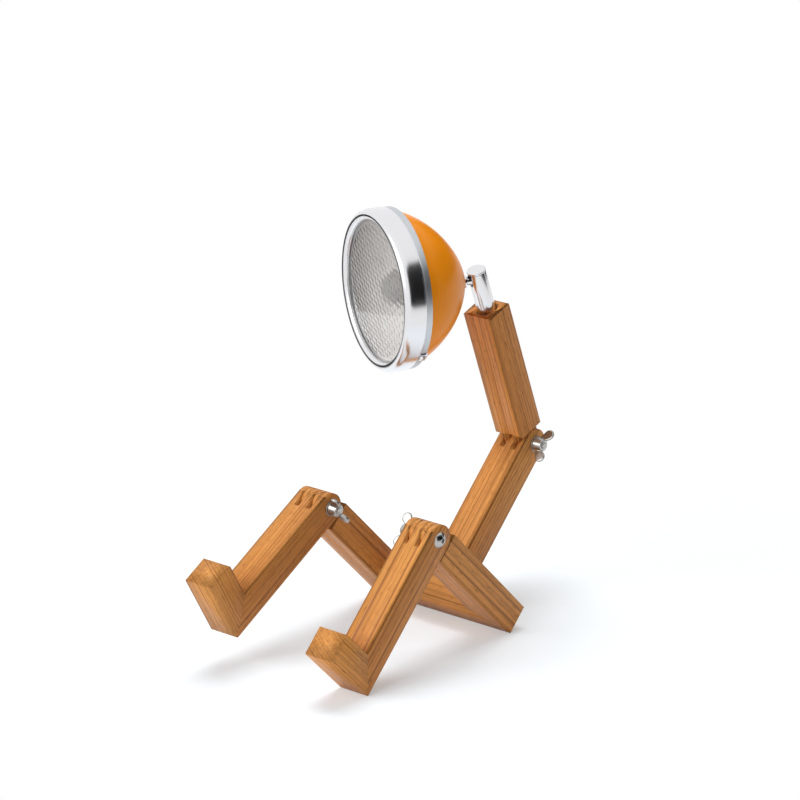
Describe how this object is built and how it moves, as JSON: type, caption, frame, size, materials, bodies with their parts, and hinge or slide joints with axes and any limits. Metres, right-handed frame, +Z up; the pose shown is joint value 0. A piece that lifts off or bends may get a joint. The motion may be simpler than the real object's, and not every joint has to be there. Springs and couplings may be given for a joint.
{
  "type": "desk lamp",
  "caption": "Desk lamp shaped as a seated figure of square wooden bars with a round orange headlight on a chromed neck.",
  "frame": {"origin": "middle of the lower rear edge of the seat's crossbar, where it sits on the table", "axes": "+Z up, the figure faces -Y, its right side is -X"},
  "size_m": [0.1501, 0.2988, 0.2992],
  "materials": {
    "oiled_wood": "satin",
    "dowel_wood": "matte",
    "steel": "satin",
    "chrome": "gloss",
    "plain_steel": "satin",
    "black_plastic": "matte",
    "orange_paint": "gloss",
    "clear_glass": "gloss",
    "bulb_glass": "gloss",
    "black_rubber": "matte",
    "reflector_metal": "gloss"
  },
  "bodies": {
    "seat_frame": {"seat_crossbar": "oiled_wood", "thigh_right": "oiled_wood", "thigh_left": "oiled_wood", "seat_post": "oiled_wood", "post_dowels": "dowel_wood", "waist_bolt": "steel", "waist_washer": "steel"},
    "leg_right": {"shin_right": "oiled_wood", "foot_right": "oiled_wood", "knee_bolt_right": "steel", "knee_washer_right": "steel"},
    "leg_left": {"shin_left": "oiled_wood", "foot_left": "oiled_wood", "knee_bolt_left": "steel", "knee_washer_left": "steel"},
    "chest": {"chest_bar": "oiled_wood", "neck_bush": "plain_steel"},
    "neck": {"neck_barrel": "chrome", "neck_cap": "chrome", "neck_nut": "plain_steel", "ball_seat": "black_plastic"},
    "head": {"head_stud": "chrome", "stud_nut": "plain_steel", "head_shell": "orange_paint", "head_bezel": "chrome", "head_lens": "clear_glass", "lens_gasket": "black_rubber", "reflector": "reflector_metal", "bulb_holder": "black_plastic", "bulb_cap": "plain_steel", "bulb_glass": "bulb_glass", "rim_clip": "chrome", "rim_screw": "chrome"},
    "nut_right": {"knee_wing_nut_right": "steel"},
    "nut_left": {"knee_wing_nut_left": "steel"},
    "nut_waist": {"waist_wing_nut": "steel"}
  },
  "joints": [
    {"name": "knee_right", "type": "hinge", "parent": "seat_frame", "child": "leg_right", "pos_m": [-0.05, -0.0777, 0.09143], "axis": [1, 0, 0], "range_deg": [-74, 20]},
    {"name": "knee_left", "type": "hinge", "parent": "seat_frame", "child": "leg_left", "pos_m": [0.05, -0.0777, 0.09143], "axis": [1, 0, 0], "range_deg": [-89, 5]},
    {"name": "waist", "type": "hinge", "parent": "seat_frame", "child": "chest", "pos_m": [0, 0.08851, 0.1079], "axis": [1, 0, 0], "range_deg": [-65, 24]},
    {"name": "neck_swivel", "type": "hinge", "parent": "chest", "child": "neck", "pos_m": [0, 0.03773, 0.24019], "axis": [0, -0.3584, 0.9336], "range_deg": [-120, 170]},
    {"name": "head_tilt", "type": "hinge", "parent": "neck", "child": "head", "pos_m": [0, 0.03773, 0.24019], "axis": [0.8949, -0.4166, -0.1599], "range_deg": [-6, 18]},
    {"name": "knee_nut_right", "type": "hinge", "parent": "leg_right", "child": "nut_right", "pos_m": [-0.05, -0.0777, 0.09143], "axis": [1, 0, 0], "range_deg": [0, 360]},
    {"name": "knee_nut_left", "type": "hinge", "parent": "leg_left", "child": "nut_left", "pos_m": [0.05, -0.0777, 0.09143], "axis": [1, 0, 0], "range_deg": [-360, 0]},
    {"name": "waist_nut", "type": "hinge", "parent": "seat_frame", "child": "nut_waist", "pos_m": [0, 0.08851, 0.1079], "axis": [1, 0, 0], "range_deg": [0, 360]}
  ]
}
